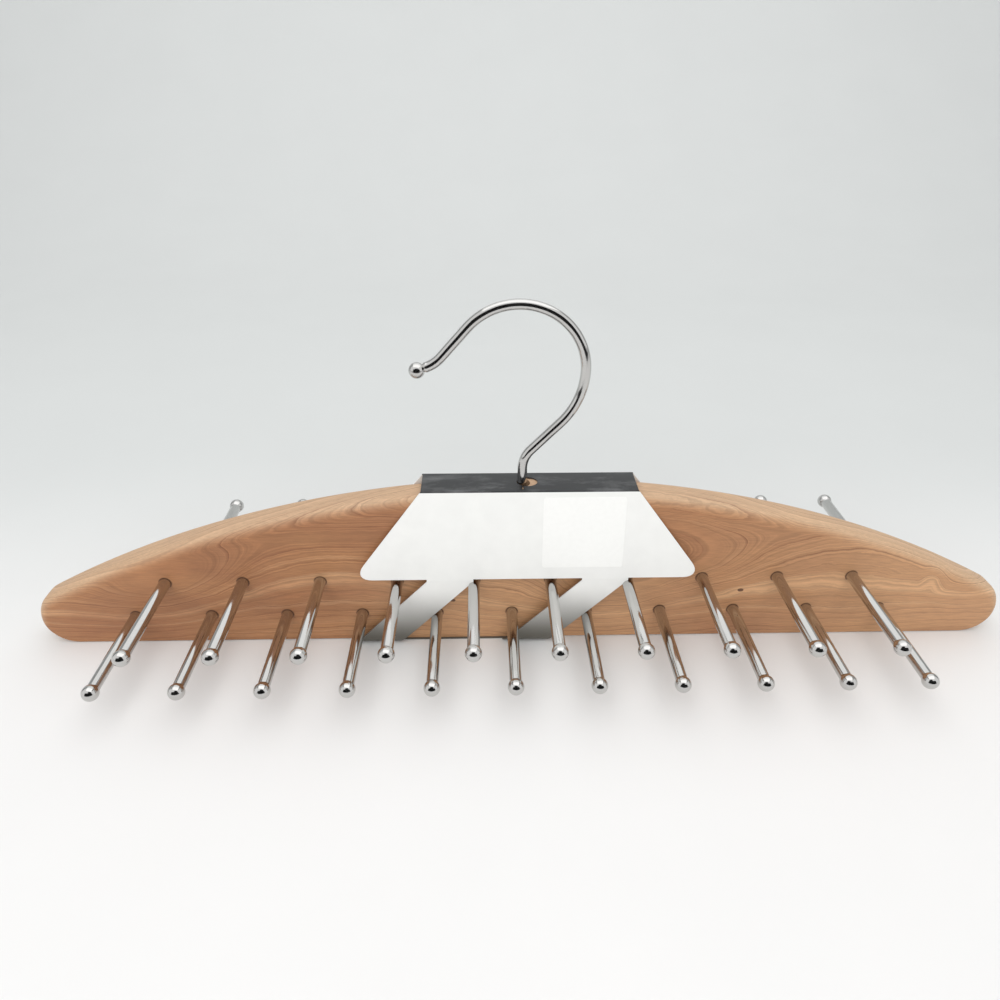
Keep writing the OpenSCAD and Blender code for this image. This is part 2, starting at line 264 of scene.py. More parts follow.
class MetalSettings(bpy.types.PropertyGroup):
    """Sizes and finish of the bare metal."""

    chrome: colour_setting("Chrome", "Colour of the plated pegs and hook", "#c6c5c3")
    roughness: bpy.props.FloatProperty(
        name="Roughness", description="Roughness of the plating", min=0, max=1, default=0.1)
    sides: bpy.props.IntProperty(
        name="Sides", description="Sides of a round bar", min=12, max=64, default=32)
    peg_diameter: length_setting("Peg", "Diameter of a peg's stem", 2, 10, 5.2)
    wire_diameter: length_setting("Hook wire", "Diameter of the hook's wire", 2, 10, 4.2)
    neck_diameter: length_setting("Hook neck", "Diameter of the wire behind the hook's ball", 2, 10, 3.3)


class CardSettings(bpy.types.PropertyGroup):
    """Colours and sizes of the card sleeve and its label."""

    white: colour_setting("White", "Colour of the bare card", "#f4f4f1")
    # Painted shade: the legs fade to this dark grey towards their foot, where they turn under the board
    shade: colour_setting("Leg shade", "Printed tone at the foot of the legs", "#5e5b53")
    band: colour_setting("Band", "Colour printed over the top", "#27282a")
    worn: colour_setting("Scuffs", "Colour of the scuffs in the band", "#8d8e8f")
    label: colour_setting("Label", "Colour of the label's paper", "#fbfbf8")
    thickness: length_setting("Thickness", "Thickness of the card", 0.2, 1, 0.5)
    top_width: length_setting("Top width", "Length of the card's folds", 50, 150, 93.4)
    fold_half: length_setting("Fold", "Distance from the middle to each fold", 5, 12, 8.1)
    panel_foot: length_setting("Panel foot", "Height of the panel's lower edge", 30, 50, 39.1)
    leg_width: length_setting("Leg", "Width of a leg along its upper edge", 10, 30, 20.94)
    leg_slant: bpy.props.FloatProperty(
        name="Slant", description="Sideways run of the legs over their height", min=0, max=2, default=0.921)
    foot_radius: length_setting("Foot radius", "Radius of the legs' bend under the board", 2, 6, 4.2)


class StageSettings(bpy.types.PropertyGroup):
    """Camera and colours of the surroundings."""

    camera_place: bpy.props.FloatVectorProperty(
        name="Camera", description="Place of the camera",
        subtype="TRANSLATION", unit="LENGTH", default=(-20.5 * MM, -276.9 * MM, 242.2 * MM))
    camera_yaw: angle_setting("Yaw", "Turn of the view to the right", 1.639)
    camera_pitch: angle_setting("Pitch", "Tilt of the view downwards", 31.52)
    camera_roll: angle_setting("Roll", "Turn of the view about its own axis", -0.375)
    floor: colour_setting("Floor", "Colour of the sweep under the hanger", "#f2f1f0")
    # Painted shade: the sweep's greyer colour behind the hanger, where less light falls
    backdrop: colour_setting("Backdrop", "Colour of the sweep behind the hanger", "#dadcdb")
    flag: colour_setting("Flag", "Colour of the dark cards that the chrome mirrors", "#151516")
    surround: colour_setting("Surround", "Colour of the light from all round", "#f0f1f2")
    surround_strength: bpy.props.FloatProperty(
        name="Surround strength", description="Strength of the light from all round", min=0, max=2, default=0.6)


class HangerSettings(bpy.types.PropertyGroup):
    """All settings of the hanger."""

    wood: bpy.props.PointerProperty(type=WoodSettings)
    metal: bpy.props.PointerProperty(type=MetalSettings)
    card: bpy.props.PointerProperty(type=CardSettings)
    stage: bpy.props.PointerProperty(type=StageSettings)


# Materials


def set_inputs(tree, node, inputs):
    """Sets or links a node's inputs; a node given for one stands for its result."""
    for socket, value in inputs.items():
        if isinstance(value, bpy.types.Node):
            value = next(result for result in value.outputs if result.enabled)
        if isinstance(value, bpy.types.NodeSocket):
            tree.links.new(value, node.inputs[socket])
        else:
            node.inputs[socket].default_value = value


def add_node(tree, kind, inputs, **settings):
    """Adds a shader node with its own settings and its inputs."""
    node = tree.nodes.new(kind)
    for name, value in settings.items():
        setattr(node, name, value)
    set_inputs(tree, node, inputs)
    return node


def new_material(name):
    """A node material with a Principled shader, and its tree, shader and object coordinates."""
    material = bpy.data.materials.new(name)
    material.use_nodes = True
    tree = material.node_tree
    places = add_node(tree, "ShaderNodeTexCoord", {}).outputs["Object"]
    return material, tree, tree.nodes["Principled BSDF"], places


def dress(obj, material):
    """Gives an object one material all over."""
    obj.data.materials.clear()
    obj.data.materials.append(material)


def patches(tree, places, sizes, detail, roughness=0.5):
    """Random patches, from 0 to 1, with a size in millimetres along each axis."""
    stretched = add_node(tree, "ShaderNodeMapping", {
        "Vector": places, "Scale": tuple(1000 / size for size in sizes)})
    return add_node(tree, "ShaderNodeTexNoise", {
        "Vector": stretched, "Scale": 1.0, "Detail": detail, "Roughness": roughness})


def mound(tree, places, middle, sizes):
    """A round mound with these half sizes: 1 in its middle, falling to 0 at its rim."""
    place = add_node(tree, "ShaderNodeMapping", {
        "Vector": places, "Location": middle, "Scale": sizes}, vector_type="TEXTURE")
    return add_node(tree, "ShaderNodeTexGradient", {"Vector": place}, gradient_type="SPHERICAL").outputs["Fac"]


def grain_rings(tree, places, axes, settings, front):
    """Number of the growth ring at each point, counted from a bent line behind the front face."""
    level = axes.outputs["Z"]
    for sizes, reach in GRAIN_WAVES:
        moved = add_node(tree, "ShaderNodeMapRange", {
            "Value": patches(tree, places, sizes, 1.0), "To Min": -reach * MM, "To Max": reach * MM})
        level = add_node(tree, "ShaderNodeMath", {0: level, 1: moved}, operation="ADD")
    for x, z, half_width, half_height, rise in GRAIN_HILLS:
        hill = add_node(tree, "ShaderNodeMapRange", {
            "Value": mound(tree, places, (x * MM, 0, z * MM), (half_width * MM, THROUGH, half_height * MM)),
            "To Max": rise * MM}, interpolation_type="SMOOTHSTEP")
        level = add_node(tree, "ShaderNodeMath", {0: level, 1: hill}, operation="SUBTRACT")
    height = add_node(tree, "ShaderNodeMath", {0: level, 1: settings.pith_level}, operation="SUBTRACT")

    depth = add_node(tree, "ShaderNodeMath", {
        0: front + settings.pith_depth, 1: axes.outputs["Y"]}, operation="SUBTRACT")
    for x, half_width, dip in PITH_DIPS:
        hollow = add_node(tree, "ShaderNodeMapRange", {
            "Value": mound(tree, places, (x * MM, 0, 0), (half_width * MM, THROUGH, THROUGH)),
            "To Max": dip * MM}, interpolation_type="SMOOTHSTEP")
        depth = add_node(tree, "ShaderNodeMath", {0: depth, 1: hollow}, operation="SUBTRACT")

    spoke = add_node(tree, "ShaderNodeCombineXYZ", {"X": height, "Y": depth})
    radius = add_node(tree, "ShaderNodeVectorMath", {0: spoke}, operation="LENGTH")
    even_rings = add_node(tree, "ShaderNodeMath", {0: radius, 1: settings.ring_spacing}, operation="DIVIDE")
    # Wet and dry spells make wide and narrow rings
    spells = add_node(tree, "ShaderNodeTexNoise", {
        "W": even_rings, "Scale": SPELLS_PER_RING, "Detail": 1.0}, noise_dimensions="1D")
    return add_node(tree, "ShaderNodeMath", {0: spells, 1: SPELL_REACH, 2: even_rings}, operation="MULTIPLY_ADD")


def ring_lines(tree, places, rings):
    """Darkness across each ring, and its weight: each ring has its own strength, and fades here and there."""
    part = add_node(tree, "ShaderNodeMath", {0: rings}, operation="FRACT")
    number = add_node(tree, "ShaderNodeMath", {0: rings}, operation="FLOOR")
    profile = add_node(tree, "ShaderNodeValToRGB", {"Fac": part})
    stops = profile.color_ramp.elements
    while len(stops) < len(RING_PROFILE):
        stops.new(1.0)
    for stop, (place, code) in zip(stops, RING_PROFILE):
        stop.position = place
        stop.color = srgb(code)
    strength = add_node(tree, "ShaderNodeTexWhiteNoise", {"W": number}, noise_dimensions="1D")
    strong = add_node(tree, "ShaderNodeMapRange", {
        "Value": strength, "From Min": 0.15, "To Min": 0.22, "To Max": 0.9})
    faded = add_node(tree, "ShaderNodeMapRange", {
        "Value": patches(tree, places, (33.33, 16.67, 8.333), 2.0),
        "From Min": 0.35, "From Max": 0.6, "To Min": 0.35})
    weight = profile
    for share in (strong, faded):
        weight = add_node(tree, "ShaderNodeMath", {0: weight, 1: share}, operation="MULTIPLY")
    return profile, weight


def dark_spots(tree, places, axes, fibre, front):
    """Weight of the small knots, and of the hole rims in the front face: torn wood with painted shade of the gap.
    """
    spots = [(x * MM, z * MM, size * MM, KNOT_HEIGHT) for x, z, size in KNOTS]
    # Rims of the peg holes: partly torn wood, partly painted shade of the gap round each peg
    for name in pegs():
        if name.startswith("peg_front"):
            low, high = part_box(name)
            spots.append(((low.x + high.x) / 2, (low.z + high.z) / 2, (high.x - low.x) / 2, 1.0))
    dark = 0.0
    for x, z, size, tall in spots:
        spot = mound(tree, places, (x, 0, z), (size, THROUGH, size * tall))
        dark = add_node(tree, "ShaderNodeMath", {0: dark, 1: spot}, operation="MAXIMUM")
    torn_and_shaded = add_node(tree, "ShaderNodeMath", {0: fibre, 1: 0.16, 2: dark}, operation="MULTIPLY_ADD")
    weight = add_node(tree, "ShaderNodeMapRange", {
        "Value": torn_and_shaded, "From Min": 0.17, "From Max": 0.3, "To Max": 0.85})
    at_front = add_node(tree, "ShaderNodeMath", {0: axes.outputs["Y"], 1: front + 1 * MM}, operation="LESS_THAN")
    return add_node(tree, "ShaderNodeMath", {0: weight, 1: at_front}, operation="MULTIPLY")


def cedar_material(settings):
    """Cedar, planed, sanded and finished clear.

    To the eye it is warm brown with thin dark ring lines, pale and redder streaks and a soft sheen.
    """
    material, tree, shader, places = new_material("clear_finished_cedar")
    low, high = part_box("body")
    axes = add_node(tree, "ShaderNodeSeparateXYZ", {"Vector": places})
    rings = grain_rings(tree, places, axes, settings, low.y)
    profile, line_weight = ring_lines(tree, places, rings)

    # Fine lines between the rings, about half a millimetre apart
    fine = add_node(tree, "ShaderNodeTexNoise", {
        "W": rings, "Scale": FINE_LINES_PER_RING, "Detail": 2.0, "Roughness": 0.75}, noise_dimensions="1D")
    fine_shade = add_node(tree, "ShaderNodeMapRange", {
        "Value": fine, "From Min": 0.32, "From Max": 0.68, "To Min": 0.83, "To Max": 1.11})
    # Fibres, drawn thicker than the wood's own so that they show
    fibre = patches(tree, places, (6.667, 0.7143, 0.7143), 4.0, roughness=0.65)
    fibre_shade = add_node(tree, "ShaderNodeMapRange", {
        "Value": fibre, "From Min": 0.3, "From Max": 0.7, "To Min": 0.87, "To Max": 1.1})

    # Pale streaks in some rings, less where the wood is redder
    streak = add_node(tree, "ShaderNodeTexNoise", {
        "W": rings, "Scale": STREAKS_PER_RING, "Detail": 0.0}, noise_dimensions="1D")
    pale = add_node(tree, "ShaderNodeMapRange", {
        "Value": streak, "From Min": 0.55, "From Max": 0.75, "To Max": 0.85})
    patch = patches(tree, places, (71.43, 33.33, 22.22), 2.0)
    redness = add_node(tree, "ShaderNodeMapRange", {"Value": patch, "From Min": 0.35, "From Max": 0.72})
    pale_there = add_node(tree, "ShaderNodeMapRange", {
        "Value": patch, "From Min": 0.35, "From Max": 0.6, "To Min": 1.0, "To Max": 0.25})
    pale_weight = add_node(tree, "ShaderNodeMath", {0: pale, 1: pale_there}, operation="MULTIPLY")

    # The board is paler towards its right end; low down in the middle, the paler tone is painted light that lifts
    # the shade under the card
    to_right = add_node(tree, "ShaderNodeMapRange", {
        "Value": axes.outputs["X"], "From Min": 50 * MM, "From Max": 170 * MM, "To Max": 0.75})
    from_centre = add_node(tree, "ShaderNodeMath", {0: axes.outputs["X"]}, operation="ABSOLUTE")
    to_centre = add_node(tree, "ShaderNodeMapRange", {
        "Value": from_centre, "From Min": 90 * MM, "From Max": 50 * MM, "To Max": 0.75})
    low_down = add_node(tree, "ShaderNodeMapRange", {
        "Value": axes.outputs["Z"], "From Min": 48 * MM, "From Max": 34 * MM})
    painted_light_under_card = add_node(tree, "ShaderNodeMath", {0: to_centre, 1: low_down}, operation="MULTIPLY")
    # Painted highlight: the rounded rim is painted paler than the faces, for the light and sheen that fall on it
    # from above
    from_middle = add_node(tree, "ShaderNodeMath", {0: axes.outputs["Y"]}, operation="ABSOLUTE")
    rim = add_node(tree, "ShaderNodeMapRange", {
        "Value": from_middle, "From Min": high.y - 0.05 * MM, "From Max": high.y - 2.5 * MM, "To Max": 0.6})

    colour = settings.early_wood
    for weight, tone in (
            (redness, settings.red_wood), (to_right, settings.pale_tone_and_painted_light), (painted_light_under_card, settings.pale_tone_and_painted_light),
            (pale_weight, settings.pale_wood), (rim, settings.painted_rim_light), (line_weight, settings.late_wood)):
        colour = add_node(tree, "ShaderNodeMix", {"Factor": weight, FIRST: colour, SECOND: tone}, data_type="RGBA")
    shade = add_node(tree, "ShaderNodeMath", {0: fine_shade, 1: fibre_shade}, operation="MULTIPLY")
    colour = add_node(tree, "ShaderNodeMix", {
        "Factor": 1.0, FIRST: colour, SECOND: shade}, data_type="RGBA", blend_type="MULTIPLY")
    colour = add_node(tree, "ShaderNodeMix", {
        "Factor": dark_spots(tree, places, axes, fibre, low.y), FIRST: colour, SECOND: settings.knots_and_hole_shade},
        data_type="RGBA")
    roughness = add_node(tree, "ShaderNodeMapRange", {
        "Value": fibre, "From Min": 0.3, "From Max": 0.7, "To Min": 0.5, "To Max": 0.62})
    relief = add_node(tree, "ShaderNodeMath", {0: profile, 1: -0.5, 2: fibre}, operation="MULTIPLY_ADD")
    bump = add_node(tree, "ShaderNodeBump", {"Height": relief, "Strength": 0.25, "Distance": 0.15 * MM})
    set_inputs(tree, shader, {"Base Color": colour, "Roughness": roughness, "Normal": bump})
    return material


def chrome_material(settings):
    """Chrome plate, polished: a slightly dim mirror with faint smears a few millimetres wide."""
    material, tree, shader, places = new_material("polished_chrome_plate")
    roughness = add_node(tree, "ShaderNodeMapRange", {
        "Value": patches(tree, places, (4.545, 4.545, 4.545), 3.0), "From Min": 0.35, "From Max": 0.65,
        "To Min": settings.roughness * 0.8, "To Max": settings.roughness * 1.3})
    set_inputs(tree, shader, {"Base Color": settings.chrome, "Metallic": 1.0, "Roughness": roughness})
    return material


def sleeve_material():
    """Steel, turned and left bare: grey, with grooves a quarter of a millimetre apart that spread its glints."""
    material, tree, shader, places = new_material("turned_steel")
    grooves = patches(tree, places, (25, 25, 0.25), 2.0)
    bump = add_node(tree, "ShaderNodeBump", {"Height": grooves, "Strength": 0.2, "Distance": 0.05 * MM})
    set_inputs(tree, shader, {
        "Base Color": srgb("#a3a2a0"), "Metallic": 1.0, "Roughness": 0.38, "Normal": bump})
    return material


def card_material(settings):
    """Coated carton, printed and die-cut.

    To the eye it is flat white with a faint sheen, has a dark scuffed band over the top and painted shade down the
    legs.
    """
    material, tree, shader, places = new_material("printed_card")
    height = add_node(tree, "ShaderNodeSeparateXYZ", {"Vector": places}).outputs["Z"]
    band_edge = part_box("card_sleeve")[1].z - 0.6 * MM
    band = add_node(tree, "ShaderNodeMapRange", {
        "Value": height, "From Min": band_edge - 0.1 * MM, "From Max": band_edge + 0.1 * MM})
    scuffs = add_node(tree, "ShaderNodeMapRange", {
        "Value": patches(tree, places, (22.22, 8.333, 8.333), 6.0, roughness=0.7),
        "From Min": 0.48, "From Max": 0.75, "To Max": 0.45})
    worn_band = add_node(tree, "ShaderNodeMix", {
        "Factor": scuffs, FIRST: settings.band, SECOND: settings.worn}, data_type="RGBA")
    # Uneven coating, in patches of some millimetres
    mottle = patches(tree, places, (6.25, 6.25, 6.25), 4.0)
    tint = add_node(tree, "ShaderNodeMapRange", {
        "Value": mottle, "From Min": 0.3, "From Max": 0.7, "To Min": 0.97})
    white = add_node(tree, "ShaderNodeMix", {
        "Factor": 1.0, FIRST: settings.white, SECOND: tint}, data_type="RGBA", blend_type="MULTIPLY")
    # Painted shade: the legs darken towards their foot, where they turn under the board
    painted_shade_towards_foot = add_node(tree, "ShaderNodeMapRange", {
        "Value": height, "From Min": 38 * MM, "From Max": 3 * MM}, interpolation_type="SMOOTHSTEP")
    colour = add_node(tree, "ShaderNodeMix", {
        "Factor": painted_shade_towards_foot, FIRST: white, SECOND: settings.shade}, data_type="RGBA")
    colour = add_node(tree, "ShaderNodeMix", {
        "Factor": band, FIRST: colour, SECOND: worn_band}, data_type="RGBA")
    bump = add_node(tree, "ShaderNodeBump", {"Height": mottle, "Strength": 0.05, "Distance": 0.1 * MM})
    set_inputs(tree, shader, {"Base Color": colour, "Roughness": 0.4, "Normal": bump})
    return material


def tinted_paper(tree, shader, places, colour, patch_size, darkest, roughness):
    """Gives a paper its colour, with faint patches, and its gloss."""
    tint = add_node(tree, "ShaderNodeMapRange", {
        "Value": patches(tree, places, (patch_size,) * 3, 3.0),
        "From Min": 0.3, "From Max": 0.7, "To Min": darkest})
    colour = add_node(tree, "ShaderNodeMix", {
        "Factor": 1.0, FIRST: colour, SECOND: tint}, data_type="RGBA", blend_type="MULTIPLY")
    set_inputs(tree, shader, {"Base Color": colour, "Roughness": roughness})


def label_material(settings):
    """Label paper, machine-coated: plain, whiter and glossier than the card, its fibres drawn coarse to show."""
    material, tree, shader, places = new_material("label_paper")
    tinted_paper(tree, shader, places, settings.label, patch_size=2, darkest=0.975, roughness=0.3)
    return material


def floor_material(settings):
    """Background paper, matt: near white under the hanger, and greyer behind it with painted shade."""
    material, tree, shader, places = new_material("paper_with_painted_shade")
    axes = add_node(tree, "ShaderNodeSeparateXYZ", {"Vector": places})
    # Painted shade: the sweep greys behind the hanger, where less light falls
    behind = add_node(tree, "ShaderNodeMapRange", {
        "Value": axes.outputs["Y"], "From Min": -0.1, "From Max": 0.2}, interpolation_type="SMOOTHSTEP")
    graded = add_node(tree, "ShaderNodeMix", {
        "Factor": behind, FIRST: settings.floor, SECOND: settings.backdrop}, data_type="RGBA")
    tinted_paper(tree, shader, places, graded, patch_size=83.33, darkest=0.985, roughness=0.7)
    return material


def flag_material(settings):
    """Flag cloth, felted: dull near-black."""
    material, tree, shader, _ = new_material("black_flag_cloth")
    set_inputs(tree, shader, {"Base Color": settings.flag, "Roughness": 0.9})
    return material


# Operators


class HANGER_OT_body(bpy.types.Operator):
    """Shapes the board: its underside is spun along the outline, filled, rounded over and drilled for the hook."""

    bl_idname = "hanger.body"
    bl_label = "Shape wooden body"

    # Faces along the arcs of the outline, across the rounded rim and round the bore
    chin_steps, nose_steps, arch_steps, rim_steps, bore_sides = 20, 24, 96, 8, 48
    # Height over which the rounding grows from the underside up, in nose radii
    fade_height = 1.7
    # Play round the sleeve, room under the hook's head and overrun of the drill, in millimetres
    sleeve_play, head_room, overrun = 0.02, 0.4, 2.0
    # Part along Y of the normal of a flat side
    flat_side = 0.9999

    def execute(self, context):
        settings = context.scene.tie_hanger.wood
        low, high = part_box("body")
        nose, chin, chin_turn = settings.nose_radius, settings.chin_radius, settings.chin_turn
        nose_x, chin_z = high.x - nose, low.z + chin
        chin_x = nose_x - (chin - nose) * math.sin(chin_turn)
        nose_z = chin_z - (chin - nose) * math.cos(chin_turn)
        rise = high.z - nose_z
        arch = (nose_x ** 2 + rise ** 2 - nose ** 2) / (2 * (rise - nose))
        arch_z = high.z - arch
        half_arch = math.atan2(nose_x, nose_z - arch_z)
        nose_turn = math.pi - half_arch - chin_turn
        thickness = high.y - low.y

        # The underside comes first; its left end is spun up one end, over the arch and down the other end
        bpy.ops.mesh.primitive_plane_add(size=thickness, location=(0, 0, low.z))
        board = start_piece("cedar_board")
        stretch((2 * chin_x / thickness, 1, 1), (0, 0, low.z))
        pick(board, "EDGE", lambda place: place.x < -chin_x + NEAR)
        for steps, turn, centre in (
                (self.chin_steps, chin_turn, (-chin_x, 0, chin_z)),
                (self.nose_steps, nose_turn, (-nose_x, 0, nose_z)),
                (self.arch_steps, 2 * half_arch, (0, 0, arch_z)),
                (self.nose_steps, nose_turn, (nose_x, 0, nose_z)),
                (self.chin_steps, chin_turn, (chin_x, 0, chin_z))):
            bpy.ops.mesh.spin(steps=steps, angle=-turn, center=centre, axis=(0, 1, 0))
        bpy.ops.mesh.select_all(action="SELECT")
        bpy.ops.mesh.remove_doubles(threshold=WELD)
        for side in (-1, 1):
            pick(board, "EDGE", lambda place: place.y * side > thickness / 2 - NEAR)
            bpy.ops.mesh.edge_face_add()
        face_outwards()
        bpy.ops.object.mode_set(mode="OBJECT")
        self.round_rim(board, settings, low)
        self.drill(board, high)
        bpy.ops.object.shade_smooth_by_angle(angle=WOOD_ROUND)
        for face in board.data.polygons:
            if abs(face.normal.y) > self.flat_side:
                face.use_smooth = False
        dress(board, cedar_material(settings))
        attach(board, "hanger")
        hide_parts("body")
        return {"FINISHED"}

    def round_rim(self, board, settings, low):
        """Rounds the rim over; the rounding fades out where the ends run into the underside."""
        weights = board.data.attributes.new("bevel_weight_edge", "FLOAT", "EDGE")
        points = board.data.vertices
        fade_end = self.fade_height * settings.nose_radius
        for edge in board.data.edges:
            first, second = (points[k].co for k in edge.vertices)
            if abs(first.y - second.y) < NEAR:
                share = min(1.0, max(0.0, ((first.z + second.z) / 2 - low.z) / fade_end))
                weights.data[edge.index].value = share * share * (3 - 2 * share)
        rounding = board.modifiers.new("rounded_rim", "BEVEL")
        rounding.width = settings.edge_radius
        rounding.segments = self.rim_steps
        rounding.limit_method = "WEIGHT"
        rounding.use_clamp_overlap = False
        apply_modifier(board, rounding)

    def drill(self, board, high):
        """Drills the seat of the hook's sleeve and the room for its head."""
        sleeve_low, sleeve_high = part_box("hook_sleeve")
        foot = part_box("hook")[0].z - self.head_room * MM
        top = high.z + self.overrun * MM
        bpy.ops.mesh.primitive_cylinder_add(
            vertices=self.bore_sides, radius=(sleeve_high.x - sleeve_low.x) / 2 + self.sleeve_play * MM,
            depth=top - foot, location=((sleeve_low.x + sleeve_high.x) / 2, 0, (top + foot) / 2))
        subtract(board, bpy.context.object)


class HANGER_OT_pegs(bpy.types.Operator):
    """Turns one peg and sets a copy of it at every peg's place."""

    bl_idname = "hanger.pegs"
    bl_label = "Turn pegs"

    # Bevel of the driven end and size of the fillet behind the ball, in millimetres
    bevel, fillet = 0.6, 0.3
    # Fillet, in its own size: rings before the ball's edge, each with its rise from the stem, and that of the edge
    fillet_rings = ((2.2, 0.0), (1.1, -0.25), (0.5, 0.0))
    edge_rise = 0.55

    def execute(self, context):
        settings = context.scene.tie_hanger.metal
        names = pegs()
        low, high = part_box(names[0])
        master = self.turn_peg(settings, high.y - low.y, (high.x - low.x) / 2)
        dress(master, chrome_material(settings))
        for name in names:
            self.place_copy(context, master, name)
        bpy.data.objects.remove(master)
        return {"FINISHED"}

    def turn_peg(self, settings, length, ball_radius):
        """One peg along -Y: a bevelled foot at the origin, a plain stem, a small fillet and a ball."""
        stem = settings.peg_diameter / 2
        bevel, fillet = self.bevel * MM, self.fillet * MM
        ball_y = ball_radius - length
        ball = ball_profile(stem + fillet * self.edge_rise, ball_radius)
        edge_y = ball_y - ball[0][0]
        rings = [(0.0, stem - bevel), (-bevel, stem)]
        rings += [(edge_y + before * fillet, stem + out * fillet) for before, out in self.fillet_rings]
        rings += [(ball_y - along, radius) for along, radius in ball]
        bpy.ops.mesh.primitive_circle_add(
            vertices=settings.sides, radius=rings[0][1], fill_type="NGON", rotation=(math.pi / 2, 0, 0))
        peg = start_piece("peg_master")
        bpy.ops.mesh.select_all(action="SELECT")
        for (y, radius), (next_y, next_radius) in zip(rings, rings[1:]):
            grow((0, next_y - y, 0), next_radius / radius, (0, next_y, 0))
        close_piece(peg)
        return peg

    def place_copy(self, context, master, name):
        """A copy of the peg with its own mesh, where a peg node is."""
        low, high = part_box(name)
        middle = (low + high) / 2
        faces_front = middle.y < 0
        foot = Vector((middle.x, high.y if faces_front else low.y, middle.z))
        turn = Matrix.Identity(4) if faces_front else Matrix.Rotation(math.pi, 4, "Z")
        mesh = master.data.copy()
        mesh.name = "chrome_" + name
        mesh.transform(Matrix.Translation(foot) @ turn)
        piece = bpy.data.objects.new("chrome_" + name, mesh)
        context.scene.collection.objects.link(piece)
        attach(piece, "hanger")
        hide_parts(name)


class HANGER_OT_hook(bpy.types.Operator):
    """Bends the hook from one round bar, and finishes the sleeve that it turns in."""

    bl_idname = "hanger.hook"
    bl_label = "Bend hook"

    # Bends of the wire from the shank up, in millimetres and degrees: radii; turns; how far the loop reaches to
    # the side of the shank, and the lengths of tail and tip
    shank_bend, waist_bend, loop_bend, tail_bend = 12.5, 33.0, 27.0, 14.8
    slope_turn, tail_turn, tip_turn = 43.5, 138.5, 29.5
    loop_reach, tail_length, tip_length = 24.5, 16.0, 3.7
    # Head in the wood and ball on the tip, in millimetres
    head_height, head_lip, ball_radius = 2.0, 1.0, 3.3
    # Places along the neck where the wire is narrowed, as shares of its length
    neck_shares = (0.35, 0.75, 1.0)
    # Faces along a full turn of the wire
    steps_per_turn = 110

    def execute(self, context):
        settings = context.scene.tie_hanger.metal
        low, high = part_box("hook")
        sleeve_low, sleeve_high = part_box("hook_sleeve")
        shank_x = (sleeve_low.x + sleeve_high.x) / 2
        radius = settings.wire_diameter / 2
        head = radius + self.head_lip * MM
        loop_z = high.z - (self.loop_bend * MM + radius)
        rise = math.radians(self.slope_turn)
        bends = self.shank_bend + self.waist_bend
        slope = (self.loop_reach - bends * (1 - math.cos(rise))) / math.sin(rise)
        shank_top = loop_z - (bends * math.sin(rise) + slope * math.cos(rise)) * MM

        bpy.ops.mesh.primitive_circle_add(
            vertices=settings.sides, radius=head, fill_type="NGON", location=(shank_x, 0, low.z))
        hook = start_piece("chrome_hook")
        bpy.ops.mesh.select_all(action="SELECT")
        self.place, self.heading = Vector((shank_x, 0, low.z)), 0.0
        self.straight(self.head_height * MM)
        bpy.ops.mesh.extrude_region_move()
        bpy.ops.transform.resize(value=(radius / head,) * 3, center_override=self.place)
        self.straight(shank_top - self.place.z)
        self.bend(1, self.shank_bend * MM, rise)
        self.straight(slope * MM)
        self.bend(-1, self.waist_bend * MM, rise)
        self.bend(-1, self.loop_bend * MM, math.radians(self.tail_turn))
        self.straight(self.tail_length * MM)
        self.bend(1, self.tail_bend * MM, math.radians(self.tip_turn))
        self.tip(radius, settings.neck_diameter / 2)
        close_piece(hook)
        dress(hook, bpy.data.materials["polished_chrome_plate"])
        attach(hook, "hook")
        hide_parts("hook")
        dress(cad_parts["hook_sleeve"], sleeve_material())
        return {"FINISHED"}

    def ahead(self):
        """Direction of the wire's end in the plane of the hook."""
        return Vector((math.sin(self.heading), 0, math.cos(self.heading)))

    def straight(self, length, swell=1.0):
        """A straight stretch of wire."""
        self.place = self.place + self.ahead() * length
        grow(self.ahead() * length, swell, self.place)

    def bend(self, side, radius, turn):
        """A bend of the wire to the right of its direction for side 1, and to the left for side -1."""
        right = Vector((math.cos(self.heading), 0, -math.sin(self.heading)))
        centre = self.place + right * side * radius
        steps = max(4, round(turn / (2 * math.pi) * self.steps_per_turn))
        bpy.ops.mesh.spin(steps=steps, angle=-side * turn, center=centre, axis=(0, 1, 0))
        self.place = centre + Matrix.Rotation(side * turn, 3, "Y") @ (self.place - centre)
        self.heading += side * turn

    def tip(self, radius, neck):
        """The narrowing neck and the ball at the wire's end."""
        ball = ball_profile(neck, self.ball_radius * MM)
        neck_length = self.tip_length * MM + ball[0][0]
        width, done = radius, 0.0
        for share in self.neck_shares:
            wanted = radius + (neck - radius) * share
            self.straight(neck_length * (share - done), wanted / width)
            width, done = wanted, share
        for (along, size), (next_along, next_size) in zip(ball, ball[1:]):
            self.straight(next_along - along, next_size / size)


